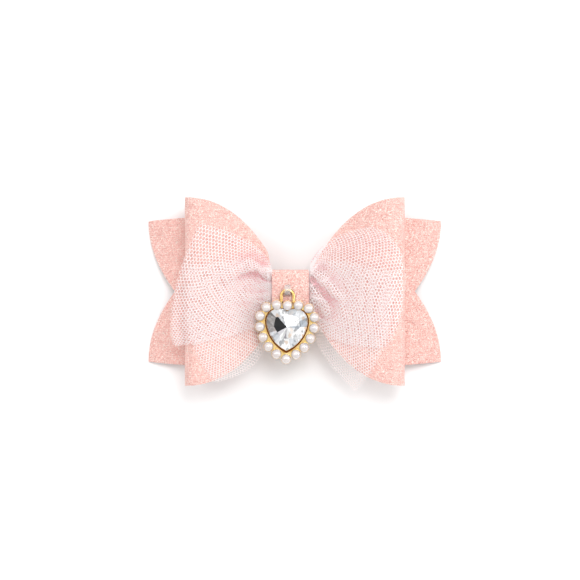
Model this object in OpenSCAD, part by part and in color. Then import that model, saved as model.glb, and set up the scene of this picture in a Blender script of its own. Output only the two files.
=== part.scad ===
// Hair bow: two glitter fabric loops over a swallow-tailed panel, a gathered net bow on top,
// a centre band, a sewn-on heart charm with a row of pearls, and a spring clip on the back.
// The bow lies face up on its tail tips and on the clip's thumb pad. +X is its width and
// +Z points out of its face. Millimetres.

/* [Bow fabric] */
// Width over the tips of the tails
bow_w = 100; // [96:1:104]
// Height of the loops at their folds
loop_h = 64.2; // [62:0.2:66]
// Distance between the two folds
fold_w = 75; // [73:1:77]
// Height of the loops' faces above the table at their crests
crest_z = 18.2; // [17:0.1:19]
// Thickness of the glitter fabric
cloth_t = 0.8; // [0.6:0.1:0.8]
// Height of the tail panel at its tips
tail_h = 48.2; // [46:0.2:50]
// Depth of the notch between two tail tips
notch_depth = 9; // [7:0.5:10]

/* [Centre band] */
// Width of the band
band_w = 12.4; // [12:0.1:12.8]
// Height of the band, as it shows from the front
band_h = 14.9; // [14.6:0.1:15.6]

/* [Net] */
// Thickness of one gathered net layer
net_t = 0.5; // [0.3:0.05:0.5]

/* [Heart charm] */
// Diameter of a pearl
pearl_d = 3.3; // [3:0.1:3.4]
// Number of pearls, an even number
pearl_count = 16; // [16]
// Width of the crystal
crystal_w = 14.2; // [13.6:0.1:14.2]
// Thickness of the charm's plate and of its ring
plate_t = 0.9; // [0.7:0.1:0.9]

/* [Clip] */
// Length of the clip
clip_l = 45; // [44:0.5:46]
// Width of the clip's top lever
clip_w = 8; // [7.6:0.2:8]
// Thickness of the clip's sheet steel
steel_t = 0.6; // [0.5:0.1:0.6]
// Radius of the hinge pin
pin_r = 0.75; // [0.7:0.05:0.75]

/* [Hidden] */
$fn = 48;
pearl_names = [for (i = [1 : pearl_count]) str("pearl_", i < 10 ? "0" : "", i)];

gap = 0.05;                  // glue line or air between two layers
seam_gap = 0.1;              // room beside a layer that isn't glued down
bow_y = 1;                   // height of the bow's centre line in the frame
band_x = -1.5;               // the band sits a little left of the middle
band_left = band_x - band_w / 2;
band_right = band_x + band_w / 2;
side_steps = 14;             // steps of a curve in the fabric's section
corner_steps = 6;            // steps of a rounded corner

// Heights of the layers through the middle of the bow, from the clip upwards.
lever_z = 5.95;
clip_glue_z = lever_z + steel_t + gap;
glue_t = 0.3;
tail_z = clip_glue_z + glue_t + seam_gap;
loop_glue_z = tail_z + cloth_t + gap;
end_a_z = loop_glue_z + glue_t + gap;
end_b_z = end_a_z + cloth_t + gap;
front_z = end_b_z + cloth_t + seam_gap;
thread_d = 0.3;
gather_z = front_z + cloth_t + gap;
net_under_z = gather_z + thread_d + gap;
net_over_z = net_under_z + net_t + gap;
band_top_z = net_over_z + net_t + 2 * gap + thread_d;
band_face_z = band_top_z + cloth_t;

// The loops' section beside the band. A handle is how far a curve holds its direction at one end.
fold_x = fold_w / 2;
crest_x = fold_x - 4.5;
loop_mid_z = 13.8;           // the outermost point of the fold
half_t = cloth_t / 2;
band_clear = 0.5;            // flat fabric beside the band
rise_handles = [11, 9];      // at the band and at the crest
fold_handles = [2.3, 2.6, 3.2, 3.6]; // at the crest, above and below the fold, and on the underside
under_in = 7;                // from the fold to the start of the underside
under_handles = [7, 8];      // at that start and at the glued end
left_end_in = 6;             // length of the left loop's glued end, beside the band
right_end_in = 4;
loops_front = [[band_left - band_clear, front_z + half_t], [band_right + band_clear, front_z + half_t]];

// The charm hangs by its ring on the charm thread.
ring_r = 0.55;               // wire of the charm's ring
charm_x = -2.5;
axis_y = 1.5;
axis_z = band_face_z + 0.2 + ring_r;
ring_mean_r = 2.1;
ring_leg = 2.2;              // from the ring's arch down to the plate
stitch_r = axis_z - band_top_z + gap + thread_d / 2;
stitch_pitch = 0.28;
stitch_turns = 7;
stitch_play = 0.25;          // sideways room for the turns in the band
plate_z = axis_z - ring_r;
first_pearl_y = axis_y - 5.3;
charm_tilt = -1.5;           // turn of the charm, seen from the front
pearl_r = pearl_d / 2;
pearl_sink = 0.4;            // how far a pearl sits in its seat in the plate
pearl_z = plate_z + plate_t + pearl_r - pearl_sink;
seat_depth = pearl_sink + gap;
seat_r = sqrt(pow(pearl_r, 2) - pow(pearl_r - pearl_sink, 2)) + gap;
pearl_row_w = 18.8;          // over the centres of the pearls at the sides
pearl_row_tip = -18.2;       // lowest pearl below the top one
bezel_t = 0.4;
bezel_h = 1.4;

// The clip, along X.
clip_x0 = -22;
clip_x1 = clip_x0 + clip_l;
pin_x = 9.5;
pin_z = 4.05;
jaw_half_w = clip_w / 2 - 0.8;

// ---------- shared functions ----------
function mix(a, b, t) = a + (b - a) * t;
function cubic(p0, p1, p2, p3, t) =
    p0 * pow(1 - t, 3) + 3 * p1 * t * pow(1 - t, 2) + 3 * p2 * t * t * (1 - t) + p3 * pow(t, 3);
// A cubic curve without its first point, so that curves can follow each other.
function curve(p0, p1, p2, p3, n = side_steps) = [for (i = [1 : n]) cubic(p0, p1, p2, p3, i / n)];
function reversed(list) = [for (i = [len(list) - 1 : -1 : 0]) list[i]];
function mirrored(list) = [for (p = list) [-p[0], p[1]]];
function unit(v) = v / norm(v);
function tangent(p, i) = unit(p[min(i + 1, len(p) - 1)] - p[max(i - 1, 0)]);
function shifted(p, d) = [for (i = [0 : len(p) - 1]) p[i] + d * [-tangent(p, i)[1], tangent(p, i)[0]]];
// The outline of a strip of thickness t along an open path.
function strip(p, t) = concat(shifted(p, t / 2), reversed(shifted(p, -t / 2)));
function arc(c, r, a0, a1, n) = [for (i = [0 : n]) c + r * [cos(mix(a0, a1, i / n)), sin(mix(a0, a1, i / n))]];
function run(p, i = 1) = i >= len(p) ? 0 : norm(p[i] - p[i - 1]) + run(p, i + 1);
// The point that lies at a distance s along a path.
function along(p, s, i = 1) =
    let (step = norm(p[i] - p[i - 1]))
    s <= step || i == len(p) - 1 ? mix(p[i - 1], p[i], s / step) : along(p, s - step, i + 1);

// A profile in X and Z, drawn out along Y.
module across(width) rotate([90, 0, 0]) linear_extrude(width, center = true) children();
// A profile in Y and Z, drawn out along X.
module lengthways(length) rotate([90, 0, 90]) linear_extrude(length, center = true) children();
// A round wire along a path that stays near an X-Z or a Y-Z plane; flat is that plane's normal.
module wire(path, r, flat, sides = 8) {
    n = len(path);
    function ring(i) =
        let (t = tangent(path, i), a = unit(flat - (flat * t) * t), b = cross(t, a))
        [for (k = [0 : sides - 1]) path[i] + r * (cos(360 * k / sides) * a + sin(360 * k / sides) * b)];
    polyhedron(
        points = [for (i = [0 : n - 1]) each ring(i)],
        faces = concat(
            [[for (k = [0 : sides - 1]) k]],
            [for (i = [0 : n - 2], k = [0 : sides - 1]) each [
                [i * sides + k, (i + 1) * sides + k, i * sides + (k + 1) % sides],
                [i * sides + (k + 1) % sides, (i + 1) * sides + k, (i + 1) * sides + (k + 1) % sides]
            ]],
            [[for (k = [sides - 1 : -1 : 0]) (n - 1) * sides + k]]
        ),
        convexity = 6
    );
}

// ---------- glitter fabric ----------
// The upper face of a loop, from its start beside the band to its crest.
function rise(x0) = curve([x0, front_z + half_t], [x0 + rise_handles[0], front_z + half_t],
    [crest_x - rise_handles[1], crest_z], [crest_x, crest_z]);
// Over the fold, and back along the underside to the point (x1, z1).
function turn(x1, z1) =
    let (outer = fold_x - half_t, under = fold_x - under_in, under_z = end_a_z + half_t)
    concat(
        curve([crest_x, crest_z], [crest_x + fold_handles[0], crest_z],
            [outer, loop_mid_z + fold_handles[1]], [outer, loop_mid_z]),
        curve([outer, loop_mid_z], [outer, loop_mid_z - fold_handles[2]],
            [under + fold_handles[3], under_z], [under, under_z], 8),
        curve([under, under_z], [under - under_handles[0], under_z],
            [x1 + under_handles[1], z1], [x1, z1], 6));

// One strip: its first end, the left loop, the front, the right loop and its last end on top.
function loop_path() = concat(
    [[band_right, end_a_z + half_t]],
    mirrored(reversed(turn(left_end_in - band_left, end_a_z + half_t))),
    mirrored(reversed(rise(band_clear - band_left))),
    loops_front,
    rise(band_right + band_clear),
    turn(band_right + right_end_in, end_b_z + half_t),
    [[band_left, end_b_z + half_t]]);

// The fabric is pinched to this height where it passes through the band.
waist = band_h - 2 * cloth_t - 3 * seam_gap;
module bow_loop() color("lightpink") translate([0, bow_y, 0]) intersection() {
    across(loop_h + 2) polygon(strip(loop_path(), cloth_t));
    translate([0, 0, tail_z]) linear_extrude(crest_z) {
        difference() {
            for (side = [-1, 1]) translate([side * fold_x, 0]) circle(r = loop_h / 2, $fn = 96);
            translate([band_x, 0]) square([band_w + 2 * seam_gap, loop_h], center = true);
        }
        square([20, waist], center = true);
    }
}

// The swallow-tailed panel behind the loops. It arches, so that its four tips touch the table.
module tail_panel() {
    flat_x = 18;
    tip_x = bow_w / 2;
    hidden_r = tail_h / 2 + 1.3;
    hidden_x = 34;
    bow_out = 2;             // how far a tip's inner edge bows outwards
    function sole(x) = abs(x) < flat_x ? tail_z : tail_z * (1 - pow((abs(x) - flat_x) / (tip_x - flat_x), 2));
    xs = [for (i = [-20 : 20]) tip_x * i / 20];
    notch = [tip_x - notch_depth, 0];
    tip = [tip_x, tail_h / 2];
    edge = cubic_edge(notch, tip, bow_out);
    half = concat(
        arc([hidden_x, 0], hidden_r, 180 - asin(waist / 2 / hidden_r), 90, side_steps),
        [[hidden_x + 4, hidden_r - 0.1], tip], reversed(edge));
    side = concat(half, [notch], [for (p = reversed(half)) [p[0], -p[1]]]);
    color("lightpink") translate([0, bow_y, 0]) intersection() {
        across(tail_h + 8) polygon(concat(
            [for (x = xs) [x, sole(x)]], [for (x = reversed(xs)) [x, sole(x) + cloth_t]]));
        linear_extrude(tail_z + 2) polygon(concat(side, [for (p = side) -p]));
    }
}
// A bowed edge from a to b, without its ends; out is how far its middle stands off the straight line.
function cubic_edge(a, b, out, n = 8) =
    let (d = unit(b - a), off = [d[1], -d[0]] * out * 4 / 3)
    let (p1 = mix(a, b, 1 / 3) + off, p2 = mix(a, b, 2 / 3) + off)
    [for (i = [1 : n - 1]) cubic(a, p1, p2, b, i / n)];

// One strip, wound round the bow and the clip's lever, with its ends lapped underneath.
module centre_band() {
    lap = 3;
    corner = 1.3;
    top = bow_y + band_h / 2 - half_t;
    low = bow_y - band_h / 2 + half_t;
    up = band_top_z + half_t;
    inner = lever_z - 2 * gap - half_t;
    outer = inner - cloth_t - gap;
    function corner_arc(y, z, a0) = arc([y, z], corner, a0, a0 + 90, corner_steps);
    path = concat(
        [[bow_y - lap, inner]],
        corner_arc(top - corner, inner + corner, -90),
        corner_arc(top - corner, up - corner, 0),
        corner_arc(low + corner, up - corner, 90),
        corner_arc(low + corner, outer + corner, 180),
        [[bow_y + lap, outer]]);
    color("pink") difference() {
        translate([band_x, 0, 0]) lengthways(band_w) polygon(strip(path, cloth_t));
        stitch_holes();
    }
}

// ---------- net ----------
net_reach = 42.4;            // the nets' section ends this far from the middle
net_droop = 2.6;             // and this far below the loops' crests
// A net layer follows the loops' faces at a height above them, and reaches out past the folds.
function net_path(z0) =
    let (lift = z0 - front_z - half_t + net_t / 2,
         left = rise(band_clear - band_left),
         right = rise(band_right + band_clear),
         over = curve([crest_x, crest_z], [crest_x + 3, crest_z], [crest_x + 6, crest_z - 1],
             [net_reach, crest_z - net_droop], 6))
    shifted(concat(mirrored(reversed(over)), mirrored(reversed(left)), loops_front, right, over), lift);
module net_layer(z0, outline) intersection() {
    across(2 * loop_h) polygon(strip(net_path(z0), net_t));
    linear_extrude(crest_z + 5) polygon(outline);
}

// A layer's outline runs from its gathers at the band out over the left wing, back, and round the right
// wing. Each wing is given by the corners of its cut edge.
gather_h = 5.2;              // half the height that the gathers have under the band
function gathered(side, level) = [band_x + side * (band_w / 2 + 0.2), bow_y + level * gather_h];
function wings(left, right) = concat(
    [gathered(-1, 1)], left, [gathered(-1, -1), gathered(1, -1)], right, [gathered(1, 1)]);

module net_under() {
    left = [[-22, 12], [-37, 7], [-38.6, -1], [-37.5, -10], [-31, -22], [-27.7, -28.4], [-17, -23],
        [-10.5, -17.5]];
    right = [[8.5, -17.5], [14, -27], [21, -33.2], [25.7, -28.4], [30.4, -18.2], [34, -8], [35, 6], [24, 12]];
    color("white") net_layer(net_under_z, wings(left, right));
}
module net_over() {
    left = [[-9, 14], [-13, 17.6], [-20.4, 20], [-32.3, 24.3], [-35.5, 18.5], [-40.3, 4.9], [-41.6, -8.7],
        [-40.6, -13.8], [-38.4, -16.8], [-24, -14.5]];
    right = [[24, -16], [31.8, -17.3], [38.2, -8.7], [38.6, 0], [37.6, 15], [31, 18], [24.3, 23.6],
        [17.5, 21.3], [9.5, 17.8]];
    color("mistyrose") net_layer(net_over_z, wings(left, right));
}

// The thread that ties the net, hidden under the band.
module gather_thread() {
    turns = 4;
    steps = 24;
    mid_z = (net_under_z + net_over_z + net_t) / 2;
    high = (net_over_z + net_t - net_under_z) / 2 + gap + thread_d / 2;
    wide = gather_h + 0.3 + thread_d / 2;
    function square_off(c) = sign(c) * pow(abs(c), 0.3);
    path = [for (i = [0 : turns * steps])
        let (a = 360 * i / steps)
        [0.4 + 0.4 * i / steps, bow_y + wide * square_off(cos(a)), mid_z + high * square_off(sin(a))]];
    color("gainsboro") wire(path, thread_d / 2, [1, 0, 0], 8);
}

// ---------- glue ----------
module glue_pad(x, length, width, z) color("ivory")
    translate([x, bow_y, z]) linear_extrude(glue_t) square([length, width], center = true);
module clip_glue() glue_pad(x = -2, length = 30, width = 6, z = clip_glue_z);
module loop_glue() glue_pad(x = 0, length = 18, width = 10, z = loop_glue_z);

// ---------- clip ----------
module pin_hole(r) translate([pin_x, bow_y, pin_z]) rotate([90, 0, 0])
    cylinder(r = r, h = 2 * clip_w, center = true);
// One pair of upright ears round the pin, from height z0 to z1, that stand in from the side face at half_w.
module ears(half_w, thick, r, z0, z1) for (side = [-1, 1])
    translate([pin_x, bow_y + side * (half_w - thick / 2), 0]) rotate([90, 0, 0])
        linear_extrude(thick, center = true) {
            translate([0, pin_z]) circle(r);
            translate([-r, z0]) square([2 * r, z1 - z0]);
        }

module clip_lever() {
    nose_r = clip_w / 2;
    color("silver") difference() {
        union() {
            translate([0, bow_y, lever_z]) linear_extrude(steel_t) {
                translate([clip_x0 + nose_r, 0]) circle(nose_r);
                translate([clip_x0 + nose_r, -clip_w / 2]) square([clip_l - nose_r - 2, clip_w]);
                translate([clip_x1 - 4, 1.5 - clip_w / 2]) square([4, clip_w - 3]);
                for (side = [-1, 1]) translate([clip_x1 - 2, side * (clip_w / 2 - 2)]) circle(2);
            }
            ears(clip_w / 2, 0.5, 1.6, pin_z, lever_z + steel_t / 2);
        }
        pin_hole(pin_r + 0.03);
    }
}

// The lower jaw: a bent plate with toothed sides, ears round the pin, and a thumb pad at the rear.
module clip_jaw() {
    pad_l = 4;
    tooth = 1.2;
    teeth = 6;
    wall = 0.5;
    nose_z = lever_z - gap;
    line = [[clip_x0 + 0.4, nose_z - 1.2], [-17, nose_z - 1.6], [-10, 3.1], [4, 2.1], [pin_x + 3, 2.1],
        [clip_x1 - pad_l, steel_t / 2], [clip_x1, steel_t / 2]];
    function tooth_line(i) = let (x = clip_x0 + 0.6 + tooth * i) [[x, nose_z], [x + tooth / 2, nose_z - 0.7]];
    color("gray") difference() {
        union() {
            translate([0, bow_y, 0]) across(2 * jaw_half_w) polygon(strip(line, steel_t));
            for (side = [-1, 1]) translate([0, bow_y + side * (jaw_half_w - wall / 2), 0]) across(wall)
                polygon(concat(
                    [[clip_x0 + 0.4, nose_z - 1.2]],
                    [for (i = [0 : teeth - 1]) each tooth_line(i)],
                    [[-10, nose_z - 1.6], [4, 3.3], [4, 2.1], [-10, 3.1], [-17, nose_z - 1.6]]));
            ears(jaw_half_w, wall, 1.7, 2.1, pin_z);
        }
        pin_hole(pin_r + 0.05);
    }
}

module clip_pin() color("dimgray") translate([pin_x, bow_y, pin_z]) rotate([90, 0, 0]) {
    cylinder(r = pin_r, h = clip_w + 0.1, center = true);
    for (side = [-1, 1]) translate([0, 0, side * (clip_w / 2 + 0.2)])
        cylinder(r = 1.15, h = 0.3, center = true);
}

// A torsion spring on the pin, with one leg under the lever and one on the thumb pad's slope.
module clip_spring() {
    wire_r = 0.22;
    coil_r = 1.25;
    steps = 14;
    sweep = 900;
    n = sweep / 360 * steps;
    leg_x = pin_x + 6.5;
    half_l = 1.3;
    coil = [for (i = [0 : n])
        let (a = 90 + sweep * i / n)
        [pin_x + coil_r * cos(a), mix(-half_l, half_l, i / n), pin_z + coil_r * sin(a)]];
    path = concat([[leg_x, -half_l, lever_z - gap - wire_r]], coil,
        [[pin_x + 3.1, half_l, 2.72], [leg_x, half_l, 1.8]]);
    color("lightgray") translate([0, bow_y, 0]) wire(path, wire_r, [0, 1, 0], 8);
}

// ---------- charm ----------
// Right half of a heart from the cleft down to its tip. hw is its half width, tip is the depth of its
// point below the middle of its lobes, and blend is the angle at which lobe and side meet smoothly.
// lobe is the radius of the lobes as a share of the half width.
function half_heart(hw, tip, lobe_n, side_n, blend, lobe) =
    let (r = lobe * hw, c = [(1 - lobe) * hw, 0], u = [cos(blend), sin(blend)],
         q = (c * c + tip * tip - r * r) / (2 * (r + c * u + tip * u[1])),
         big = r + q, centre = c - q * u,
         start = acos(-c[0] / r), last = atan2(-tip - centre[1], -centre[0]))
    concat(arc(c, r, start, blend, lobe_n), [for (i = [1 : side_n]) centre + big * [
        cos(mix(blend, last, i / side_n)), sin(mix(blend, last, i / side_n))]]);
function heart(hw, tip, lobe_n = 12, side_n = 8) =
    let (half = half_heart(hw, tip, lobe_n, side_n, -8, 0.62))
    concat(half, [for (i = [len(half) - 2 : -1 : 1]) [-half[i][0], half[i][1]]]);
lobe_y = -5.4;               // middle of the lobes below the first pearl
crystal_tip = 10;            // the crystal's point below the middle of its lobes

// The pearls' row: flat across the top, round the lobes and down to the point, at even steps.
row_lobe_y = -5.1;           // middle of the row's lobes below the first pearl
pearl_path = let (half = half_heart(pearl_row_w / 2, row_lobe_y - pearl_row_tip, 24, 16, 0, 0.56))
    concat([[0, 0]], [for (p = half) if (p[1] < 0 || p[0] > 0.44 * pearl_row_w / 2) p + [0, row_lobe_y]]);
function pearl_at(i) =
    let (step = run(pearl_path) / (pearl_count / 2),
         k = i <= pearl_count / 2 ? i : pearl_count - i,
         p = along(pearl_path, k * step))
    [i <= pearl_count / 2 ? p[0] : -p[0], p[1]];
module on_charm() translate([charm_x, first_pearl_y, 0]) rotate(charm_tilt) children();

module pearl(i) color("snow") on_charm()
    translate([each pearl_at(i - 1), pearl_z]) sphere(r = pearl_r);

module charm_frame() {
    bezel_hw = crystal_w / 2 + bezel_t + gap;
    color("gold") {
        on_charm() {
            difference() {
                translate([0, 0, plate_z]) linear_extrude(plate_t) {
                    polygon(concat(pearl_path, [for (p = reversed(pearl_path)) [-p[0], p[1]]]));
                    for (i = [0 : pearl_count - 1]) translate(pearl_at(i)) circle(r = pearl_r + 0.1);
                }
                for (i = [0 : pearl_count - 1])
                    translate([each pearl_at(i), plate_z + plate_t - seat_depth]) cylinder(plate_t, r = seat_r);
            }
            translate([0, lobe_y, plate_z + plate_t - 0.1]) linear_extrude(bezel_h + 0.1) difference() {
                polygon(heart(bezel_hw, crystal_tip + 0.8));
                polygon(heart(crystal_w / 2 + gap, crystal_tip + 0.1));
                for (i = [0 : pearl_count - 1]) translate(pearl_at(i) - [0, lobe_y]) circle(r = pearl_r + gap);
            }
        }
        translate([charm_x, axis_y - ring_mean_r, axis_z]) {
            rotate_extrude(angle = 180) translate([ring_mean_r, 0]) circle(ring_r);
            for (side = [-1, 1]) translate([side * ring_mean_r, 0, 0]) rotate([90, 0, 0])
                cylinder(ring_leg, r = ring_r);
        }
    }
}

// A heart stone with a flat back and a girdle. Its crown has three facets for each corner of an inner ring,
// and large facets from that ring to one point. The pearls cut into its edge.
module heart_crystal() {
    corners = 8;             // of the inner ring
    outline = heart(crystal_w / 2, crystal_tip, 7, 5); // three points for each corner
    n = len(outline);
    centre = [0, -1.9];
    z0 = plate_z + plate_t + gap;
    back = 0.9;              // size of the back as a share of the girdle
    inner = 0.66;             // size of the inner ring
    girdle_low = 0.6;
    girdle_top = 1.2;
    inner_top = 2.5;
    point_top = 3.1;
    function ring(share, height) = [for (p = outline)
        let (q = centre + share * (p - centre)) [q[0], q[1], z0 + height]];
    function band(k) = [for (i = [0 : n - 1]) each [
        [k * n + i, (k + 1) * n + i, k * n + (i + 1) % n],
        [k * n + (i + 1) % n, (k + 1) * n + i, (k + 1) * n + (i + 1) % n]]];
    inner_ring = [for (j = [0 : corners - 1])
        let (p = (outline[3 * j + 1] + outline[3 * j + 2]) / 2, q = centre + inner * (p - centre))
        [q[0], q[1], z0 + inner_top]];
    first = 3 * n;            // the inner ring's first point
    point = first + corners;
    color("aliceblue") on_charm() translate([0, lobe_y, 0]) difference() {
        polyhedron(
            points = concat(ring(back, 0), ring(1, girdle_low), ring(1, girdle_top), inner_ring,
                [[centre[0], centre[1], z0 + point_top], [centre[0], centre[1], z0]]),
            faces = concat(
                band(0), band(1),
                [for (j = [0 : corners - 1], k = [0 : 2])
                    [2 * n + 3 * j + k, first + j, 2 * n + (3 * j + k + 1) % n]],
                [for (j = [0 : corners - 1])
                    [2 * n + (3 * j + 3) % n, first + j, first + (j + 1) % corners]],
                [for (j = [0 : corners - 1]) [first + j, point, first + (j + 1) % corners]],
                [for (i = [0 : n - 1]) [i, (i + 1) % n, point + 1]]));
        for (i = [0 : pearl_count - 1])
            translate([each pearl_at(i) - [0, lobe_y], z0 - 1]) cylinder(point_top + 2, r = pearl_r + gap);
    }
}

// Touching turns of thread that sew the charm's ring to the band. They twist with the charm.
stitch_half_w = stitch_pitch * (stitch_turns - 1) / 2 + thread_d / 2;
module charm_thread() color("whitesmoke")
    translate([charm_x, axis_y, axis_z]) rotate([0, 90, 0]) rotate_extrude() translate([stitch_r, 0])
        for (i = [0 : stitch_turns - 1])
            translate([0, stitch_pitch * (i - (stitch_turns - 1) / 2)]) circle(thread_d / 2);

// Room in the band for the turns, on each side of the ring's arch.
module stitch_holes() {
    inner = 0.5;
    outer = 1.75;
    for (side = [-1, 1])
        translate([charm_x, axis_y + side * (inner + outer) / 2, band_top_z + cloth_t / 2])
            cube([2 * (stitch_half_w + stitch_play), outer - inner, 2 * cloth_t], center = true);
}

tail_panel();
bow_loop();
net_under();
net_over();
centre_band();
gather_thread();
clip_glue();
loop_glue();
clip_lever();
clip_jaw();
clip_pin();
clip_spring();
charm_thread();
charm_frame();
heart_crystal();
for (i = [1 : pearl_count]) pearl(i);
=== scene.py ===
import math

import bpy
import numpy as np
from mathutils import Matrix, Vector


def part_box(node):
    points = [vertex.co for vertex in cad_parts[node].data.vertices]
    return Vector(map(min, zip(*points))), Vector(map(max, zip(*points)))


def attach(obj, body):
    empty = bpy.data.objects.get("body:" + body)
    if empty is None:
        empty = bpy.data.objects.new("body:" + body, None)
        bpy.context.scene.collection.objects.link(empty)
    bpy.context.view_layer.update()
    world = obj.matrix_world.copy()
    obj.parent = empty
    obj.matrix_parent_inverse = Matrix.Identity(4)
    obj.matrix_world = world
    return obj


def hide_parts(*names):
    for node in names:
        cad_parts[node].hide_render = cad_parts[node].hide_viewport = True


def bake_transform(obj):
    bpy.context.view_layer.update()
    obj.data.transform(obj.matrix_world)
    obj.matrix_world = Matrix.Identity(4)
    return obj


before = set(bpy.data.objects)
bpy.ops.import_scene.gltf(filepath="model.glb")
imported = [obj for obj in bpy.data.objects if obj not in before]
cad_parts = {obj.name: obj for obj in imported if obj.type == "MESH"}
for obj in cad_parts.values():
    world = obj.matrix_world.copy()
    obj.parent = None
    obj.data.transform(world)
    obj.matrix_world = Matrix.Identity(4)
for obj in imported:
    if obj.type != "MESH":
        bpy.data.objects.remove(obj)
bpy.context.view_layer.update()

MM = 0.001
BAND_LOW, BAND_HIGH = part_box("centre_band")
LOOP_LOW, LOOP_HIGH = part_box("bow_loop")
TAIL_LOW, TAIL_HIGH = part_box("tail_panel")
BOW_Y = (LOOP_LOW.y + LOOP_HIGH.y) / 2
CLOTH = 0.8 * MM
CUT_EDGE = 0.12 * MM


# ---------- shaders ----------
def linear(hex_colour):
    """A display colour such as F6C4B8 as linear red, green and blue, and 1 for opaque."""
    parts = [int(hex_colour[i:i + 2], 16) / 255 for i in (0, 2, 4)]
    return (*(p / 12.92 if p <= 0.04045 else ((p + 0.055) / 1.055) ** 2.4 for p in parts), 1)


def set_stops(ramp, stops):
    """Give a colour ramp its stops: a place from 0 to 1, and a display colour or a grey level."""
    points = ramp.elements
    while len(points) < len(stops):
        points.new(0.5)
    for point, (at, colour) in zip(points, stops):
        point.position = at
        point.color = linear(colour) if isinstance(colour, str) else (colour, colour, colour, 1)


class Shader:
    """A node material with one Principled shader. Texture scales are in cells per metre."""

    def __init__(self, name, **values):
        self.material = bpy.data.materials.new(name)
        self.material.use_nodes = True
        self.tree = self.material.node_tree
        self.surface = self.tree.nodes["Principled BSDF"]
        for socket, value in values.items():
            self.surface.inputs[socket.replace("_", " ")].default_value = value
        self.place = self.node("ShaderNodeTexCoord").outputs["Object"]

    def node(self, kind, inputs=None, **settings):
        made = self.tree.nodes.new(kind)
        for key, value in settings.items():
            setattr(made, key, value)
        for key, value in (inputs or {}).items():
            if isinstance(value, bpy.types.NodeSocket):
                self.tree.links.new(value, made.inputs[key])
            else:
                made.inputs[key].default_value = value
        return made

    def feed(self, socket, value):
        self.tree.links.new(value, self.surface.inputs[socket])

    def noise(self, scale, detail=3.0, place=None):
        inputs = {"Vector": place or self.place, "Scale": scale, "Detail": detail}
        return self.node("ShaderNodeTexNoise", inputs)

    def cells(self, scale, place=None, **settings):
        return self.node("ShaderNodeTexVoronoi", {"Vector": place or self.place, "Scale": scale}, **settings)

    def ramp(self, value, *stops, interpolation="LINEAR"):
        """Colours, or grey levels, at places from 0 to 1."""
        made = self.node("ShaderNodeValToRGB", {"Fac": value})
        made.color_ramp.interpolation = interpolation
        set_stops(made.color_ramp, stops)
        return made.outputs["Color"]

    def vector(self, operation, inputs):
        return self.node("ShaderNodeVectorMath", inputs, operation=operation).outputs[0]

    def number(self, operation, inputs):
        return self.node("ShaderNodeMath", inputs, operation=operation).outputs[0]

    def part(self, vector, axis):
        return self.node("ShaderNodeSeparateXYZ", {0: vector}).outputs[axis]

    def stretched(self, x, y, z):
        return self.node("ShaderNodeMapping", {"Vector": self.place, "Scale": (x, y, z)}).outputs["Vector"]

    def mix(self, share, a, b, how="MIX"):
        made = self.node("ShaderNodeMix", data_type="RGBA", blend_type=how)
        for key, value in ((0, share), (6, a), (7, b)):
            if isinstance(value, bpy.types.NodeSocket):
                self.tree.links.new(value, made.inputs[key])
            else:
                made.inputs[key].default_value = linear(value) if key else value
        return made.outputs[2]

    def bump(self, height, strength, distance, under=None):
        inputs = {"Height": height, "Strength": strength, "Distance": distance}
        if under is not None:
            inputs["Normal"] = under
        return self.node("ShaderNodeBump", inputs).outputs["Normal"]

    def own_normal(self, output):
        """A surface normal in the object's own space, which turns with the piece."""
        normal = self.node("ShaderNodeNewGeometry").outputs[output]
        return self.node("ShaderNodeVectorTransform", {"Vector": normal}, vector_type="NORMAL",
                         convert_from="WORLD", convert_to="OBJECT").outputs[0]


def glitter_fabric():
    """Salmon fabric under a layer of fine glitter. Each flake has its own colour, gloss and tilt."""
    s = Shader("glitter_fabric", Specular_IOR_Level=0.5)
    grain = s.cells(3900)
    flake = s.node("ShaderNodeSeparateColor", {"Color": grain.outputs["Color"]})
    tint = s.ramp(flake.outputs["Red"], (0.0, "E2A197"), (0.25, "EFB7AD"),
                  (0.65, "F5C6BD"), (0.88, "FBDCD3"), (1.0, "FFF5EC"))
    dots = s.cells(2100)
    dot = s.node("ShaderNodeSeparateColor", {"Color": dots.outputs["Color"]})
    rare = s.ramp(dot.outputs["Red"], (0.9, 0.0), (0.97, 0.9))
    middle = s.ramp(dots.outputs["Distance"], (0.2, 1.0), (0.4, 0.0))
    sparkle = s.mix(1.0, rare, middle, "MULTIPLY")
    patches = s.noise(260, 4)
    shade = s.ramp(patches.outputs["Fac"], (0.3, 0.93), (0.7, 1.0))
    weave = s.node("ShaderNodeTexWave", {"Vector": s.place, "Scale": 420.0, "Distortion": 3.0, "Detail": 2.0,
                                         "Detail Scale": 2.0}, bands_direction="Y")
    thread = s.ramp(weave.outputs["Fac"], (0.2, 0.925), (0.8, 1.0))
    cloth = s.mix(1.0, s.mix(1.0, tint, shade, "MULTIPLY"), thread, "MULTIPLY")
    s.feed("Base Color", s.mix(sparkle, cloth, "FFFAEE"))
    s.feed("Roughness", s.ramp(flake.outputs["Green"], (0.0, 0.28), (0.25, 0.45), (1.0, 0.75)))
    s.feed("Metallic", s.ramp(flake.outputs["Blue"], (0.86, 0.0), (0.95, 0.7)))
    centre = (0.5, 0.5, 0.5)
    tilt = s.vector("SUBTRACT", {0: grain.outputs["Color"], 1: centre})
    tilt = s.vector("SCALE", {0: tilt, "Scale": 0.9})
    normal = s.node("ShaderNodeNewGeometry").outputs["Normal"]
    tilted = s.vector("NORMALIZE", {0: s.vector("ADD", {0: normal, 1: tilt})})
    s.feed("Normal", s.bump(weave.outputs["Fac"], 0.25, 0.05 * MM, tilted))
    return s.material


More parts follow.
